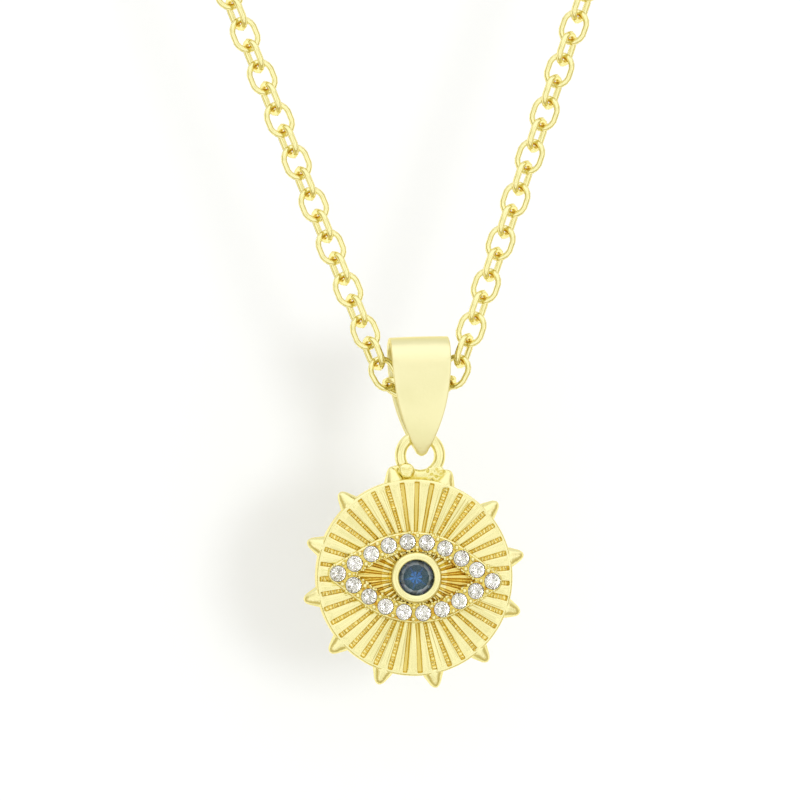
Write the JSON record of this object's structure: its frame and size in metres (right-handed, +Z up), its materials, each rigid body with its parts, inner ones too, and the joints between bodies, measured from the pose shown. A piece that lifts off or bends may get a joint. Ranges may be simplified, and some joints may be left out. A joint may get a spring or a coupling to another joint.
{
  "type": "eye necklace",
  "caption": "Fine gold cable chain with a folded bail and a round sunburst charm that carries an almond eye of small clear stones round one blue stone.",
  "frame": {"origin": "the nape, at the middle of the closed loop's top, where the necklace hangs on the neck", "axes": "+Z up, -Y the way the charm faces, +X to the right for someone who looks at the charm"},
  "size_m": [0.0909, 0.0656, 0.1538],
  "materials": {
    "gold": "polished pale gold plating",
    "clear_stone": "clear, cut and polished",
    "blue_stone": "deep blue, cut and polished"
  },
  "bodies": {
    "necklace": {"chain_left": "gold", "chain_right": "gold", "clasp": "gold", "end_ring": "gold"},
    "bail": {"bail": "gold"},
    "charm": {"charm": "gold", "centre_stone": "blue_stone", "pave_stone_01": "clear_stone", "pave_stone_02": "clear_stone", "pave_stone_03": "clear_stone", "pave_stone_04": "clear_stone", "pave_stone_05": "clear_stone", "pave_stone_06": "clear_stone", "pave_stone_07": "clear_stone", "pave_stone_08": "clear_stone", "pave_stone_09": "clear_stone", "pave_stone_10": "clear_stone", "pave_stone_11": "clear_stone", "pave_stone_12": "clear_stone", "pave_stone_13": "clear_stone", "pave_stone_14": "clear_stone", "pave_stone_15": "clear_stone", "pave_stone_16": "clear_stone", "pave_stone_17": "clear_stone", "pave_stone_18": "clear_stone"}
  },
  "joints": [
    {"name": "bail_swing", "type": "hinge", "parent": "necklace", "child": "bail", "pos_m": [0.00369, -0.06173, -0.13222], "axis": [1, 0, 0], "range_deg": [-20, 20]},
    {"name": "charm_swing", "type": "hinge", "parent": "bail", "child": "charm", "pos_m": [0.00377, -0.06173, -0.13501], "axis": [1, 0, 0], "range_deg": [-25, 25]}
  ]
}
